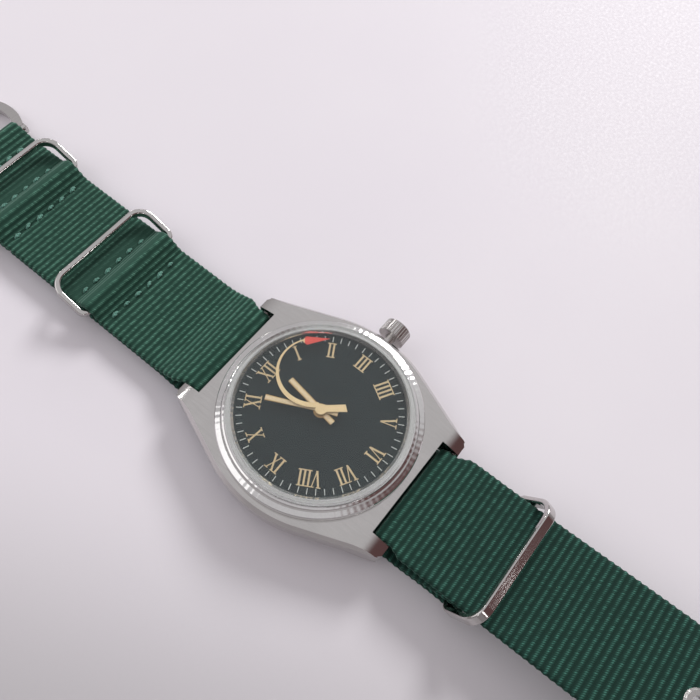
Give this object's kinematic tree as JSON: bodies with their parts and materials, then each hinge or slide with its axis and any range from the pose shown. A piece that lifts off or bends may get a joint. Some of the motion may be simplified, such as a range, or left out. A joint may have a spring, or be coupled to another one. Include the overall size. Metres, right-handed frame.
{
  "type": "mechanical wristwatch",
  "caption": "Round hand wound wristwatch with lugs, domed crystal, Roman dial, curved second hand and a woven pass-through strap with metal keepers.",
  "frame": {"origin": "on the underside of the strap flap, straight under the middle of the dial", "axes": "+Z out of the dial, +Y to twelve o'clock along the strap, +X to three o'clock and the crown"},
  "size_m": [0.0407, 0.267, 0.0121],
  "materials": {
    "case_steel": "satin",
    "bezel_steel": "polished",
    "crystal": "clear",
    "ring_steel": "polished",
    "gasket": "matt",
    "crown_steel": "polished",
    "dial_paint": "matt",
    "marking_gold": "matt",
    "hand_gold": "polished",
    "plate_nickel": "satin",
    "wheel_brass": "satin",
    "inner_steel": "polished",
    "blued_steel": "polished",
    "jewel": "clear",
    "webbing": "woven",
    "stitching": "thread",
    "strap_steel": "brushed"
  },
  "bodies": {
    "case": {"mid_case": "case_steel", "bezel": "bezel_steel", "crystal": "crystal", "tension_ring": "ring_steel", "case_back": "case_steel", "back_gasket": "gasket", "crown_tube": "case_steel", "dial": "dial_paint", "dial_numerals": "marking_gold", "mainplate": "plate_nickel", "barrel_bridge": "plate_nickel", "train_bridge": "plate_nickel", "balance_cock": "plate_nickel", "pallet_cock": "plate_nickel", "jewels": "jewel", "movement_screws": "blued_steel", "click_spring": "blued_steel", "mainspring": "inner_steel", "hairspring": "blued_steel", "spring_bars": "strap_steel", "strap_long": "webbing", "strap_flap": "webbing", "strap_stitching": "stitching", "strap_eyelets": "strap_steel"},
    "seconds": {"fourth_wheel": "wheel_brass", "second_hand": "hand_gold"},
    "third": {"third_wheel": "wheel_brass"},
    "centre": {"centre_wheel": "wheel_brass"},
    "minutes": {"cannon_pinion": "inner_steel", "minute_hand": "hand_gold"},
    "minute_train": {"minute_wheel": "wheel_brass"},
    "hours": {"hour_wheel": "wheel_brass", "hour_hand": "hand_gold"},
    "setting": {"setting_wheel": "inner_steel"},
    "drum": {"barrel": "wheel_brass", "barrel_cover": "wheel_brass"},
    "escape": {"escape_wheel": "wheel_brass"},
    "lever": {"pallet_fork": "inner_steel", "pallet_stones": "jewel"},
    "balance": {"balance_wheel": "wheel_brass"},
    "winder": {"winding_pinion": "inner_steel"},
    "crown_wheel": {"crown_wheel": "inner_steel"},
    "ratchet": {"ratchet_wheel": "inner_steel", "ratchet_screw": "blued_steel", "barrel_arbor": "inner_steel"},
    "crown": {"crown": "crown_steel", "winding_stem": "inner_steel"},
    "clutch": {"clutch_wheel": "inner_steel"},
    "setting_lever": {"setting_lever": "inner_steel"},
    "yoke": {"yoke": "inner_steel"},
    "click": {"click": "inner_steel"},
    "keeper_1": {"keeper_1": "strap_steel"},
    "keeper_2": {"keeper_2": "strap_steel"},
    "keeper_3": {"keeper_3": "strap_steel"},
    "buckle_frame": {"buckle_frame": "strap_steel"},
    "buckle_tongue": {"buckle_tongue": "strap_steel"},
    "tip_12_crown_side": {"bar_tip_12_crown_side": "strap_steel"},
    "tip_12_far_side": {"bar_tip_12_far_side": "strap_steel"},
    "tip_6_crown_side": {"bar_tip_6_crown_side": "strap_steel"},
    "tip_6_far_side": {"bar_tip_6_far_side": "strap_steel"}
  },
  "joints": [
    {"name": "seconds_turn", "type": "hinge", "parent": "case", "child": "seconds", "pos_m": [0, 0, 0.009], "axis": [0, 0, -1], "continuous": true},
    {"name": "third_turn", "type": "hinge", "parent": "case", "child": "third", "pos_m": [-0.00409, 0.00236, 0.0055], "axis": [0, 0, -1], "continuous": true},
    {"name": "centre_turn", "type": "hinge", "parent": "case", "child": "centre", "pos_m": [0, 0, 0.009], "axis": [0, 0, -1], "continuous": true},
    {"name": "minutes_turn", "type": "hinge", "parent": "case", "child": "minutes", "pos_m": [0, 0, 0.009], "axis": [0, 0, -1], "continuous": true},
    {"name": "minute_wheel_turn", "type": "hinge", "parent": "case", "child": "minute_train", "pos_m": [0.0022, -0.00123, 0.0077], "axis": [0, 0, -1], "continuous": true},
    {"name": "hours_turn", "type": "hinge", "parent": "case", "child": "hours", "pos_m": [0, 0, 0.009], "axis": [0, 0, -1], "continuous": true},
    {"name": "setting_wheel_turn", "type": "hinge", "parent": "case", "child": "setting", "pos_m": [0.00605, 0, 0.0077], "axis": [0, 0, -1], "continuous": true},
    {"name": "barrel_turn", "type": "hinge", "parent": "case", "child": "drum", "pos_m": [0.00337, 0.00507, 0.0065], "axis": [0, 0, -1], "continuous": true, "deforming": ["mainspring"]},
    {"name": "escape_turn", "type": "hinge", "parent": "case", "child": "escape", "pos_m": [-0.00157, -0.00432, 0.0054], "axis": [0, 0, -1], "continuous": true},
    {"name": "pallet_rock", "type": "hinge", "parent": "case", "child": "lever", "pos_m": [0.00037, -0.00596, 0.0054], "axis": [0, 0, -1], "range_deg": [-5, 5]},
    {"name": "balance_swing", "type": "hinge", "parent": "case", "child": "balance", "pos_m": [0.00281, -0.00802, 0.00465], "axis": [0, 0, -1], "range_deg": [-270, 270], "stiffness_Nm_per_rad": 0.0000002, "deforming": ["hairspring"]},
    {"name": "crown_turn", "type": "hinge", "parent": "case", "child": "winder", "pos_m": [0.0106, 0, 0.0062], "axis": [1, 0, 0], "continuous": true},
    {"name": "crown_wheel_turn", "type": "hinge", "parent": "case", "child": "crown_wheel", "pos_m": [0.0076, 0, 0.0042], "axis": [0, 0, 1], "continuous": true},
    {"name": "ratchet_turn", "type": "hinge", "parent": "case", "child": "ratchet", "pos_m": [0.00337, 0.00507, 0.0042], "axis": [0, 0, 1], "continuous": true},
    {"name": "crown_pull", "type": "slide", "parent": "winder", "child": "crown", "axis": [1, 0, 0], "range_m": [0, 0.0009]},
    {"name": "clutch_slide", "type": "slide", "parent": "winder", "child": "clutch", "axis": [-1, 0, 0], "range_m": [0, 0.0008]},
    {"name": "setting_lever_swing", "type": "hinge", "parent": "case", "child": "setting_lever", "pos_m": [0.0111, 0.003, 0.0083], "axis": [0, 0, 1], "range_deg": [0, 17.76]},
    {"name": "yoke_swing", "type": "hinge", "parent": "case", "child": "yoke", "pos_m": [0.0095, -0.0037, 0.0083], "axis": [0, 0, 1], "range_deg": [0, 12.51]},
    {"name": "click_lift", "type": "hinge", "parent": "case", "child": "click", "pos_m": [-0.001, 0.00693, 0.0042], "axis": [0, 0, 1], "range_deg": [0, 8], "stiffness_Nm_per_rad": 0.000001, "springref_deg": -5.73, "deforming": ["click_spring"]},
    {"name": "keeper_1_swing", "type": "hinge", "parent": "case", "child": "keeper_1", "pos_m": [0, 0.0702, 0.0035], "axis": [1, 0, 0], "range_deg": [-10, 120]},
    {"name": "keeper_2_swing", "type": "hinge", "parent": "case", "child": "keeper_2", "pos_m": [0, 0.0449, 0.0035], "axis": [1, 0, 0], "range_deg": [-10, 120]},
    {"name": "keeper_3_swing", "type": "hinge", "parent": "case", "child": "keeper_3", "pos_m": [0, -0.034, 0.00355], "axis": [1, 0, 0], "range_deg": [-75, 10]},
    {"name": "buckle_frame_swing", "type": "hinge", "parent": "case", "child": "buckle_frame", "pos_m": [0, 0.086, 0.00235], "axis": [1, 0, 0], "range_deg": [-70, 75]},
    {"name": "buckle_tongue_swing", "type": "hinge", "parent": "buckle_frame", "child": "buckle_tongue", "pos_m": [0, 0.086, 0.00235], "axis": [1, 0, 0], "range_deg": [0, 60]},
    {"name": "bar_tip_12_crown_side_press", "type": "slide", "parent": "case", "child": "tip_12_crown_side", "axis": [-1, 0, 0], "range_m": [0, 0.0008], "stiffness_N_per_m": 20},
    {"name": "bar_tip_12_far_side_press", "type": "slide", "parent": "case", "child": "tip_12_far_side", "axis": [1, 0, 0], "range_m": [0, 0.0008], "stiffness_N_per_m": 20},
    {"name": "bar_tip_6_crown_side_press", "type": "slide", "parent": "case", "child": "tip_6_crown_side", "axis": [-1, 0, 0], "range_m": [0, 0.0008], "stiffness_N_per_m": 20},
    {"name": "bar_tip_6_far_side_press", "type": "slide", "parent": "case", "child": "tip_6_far_side", "axis": [1, 0, 0], "range_m": [0, 0.0008], "stiffness_N_per_m": 20}
  ],
  "couplings": [
    {"joint": "third_turn", "follows": "seconds_turn", "ratio": -0.13333},
    {"joint": "centre_turn", "follows": "seconds_turn", "ratio": 0.016667},
    {"joint": "minutes_turn", "follows": "seconds_turn", "ratio": 0.016667},
    {"joint": "minute_wheel_turn", "follows": "seconds_turn", "ratio": -0.0055556},
    {"joint": "hours_turn", "follows": "seconds_turn", "ratio": 0.0013889},
    {"joint": "setting_wheel_turn", "follows": "seconds_turn", "ratio": 0.004878},
    {"joint": "barrel_turn", "follows": "seconds_turn", "ratio": -0.0026667},
    {"joint": "escape_turn", "follows": "seconds_turn", "ratio": -12},
    {"joint": "crown_wheel_turn", "follows": "crown_turn", "ratio": 0.6},
    {"joint": "ratchet_turn", "follows": "crown_turn", "ratio": -0.5},
    {"joint": "clutch_slide", "follows": "crown_pull", "ratio": 0.88889},
    {"joint": "setting_lever_swing", "follows": "crown_pull", "rad_per_m": 344.09},
    {"joint": "yoke_swing", "follows": "crown_pull", "rad_per_m": 242.15}
  ]
}
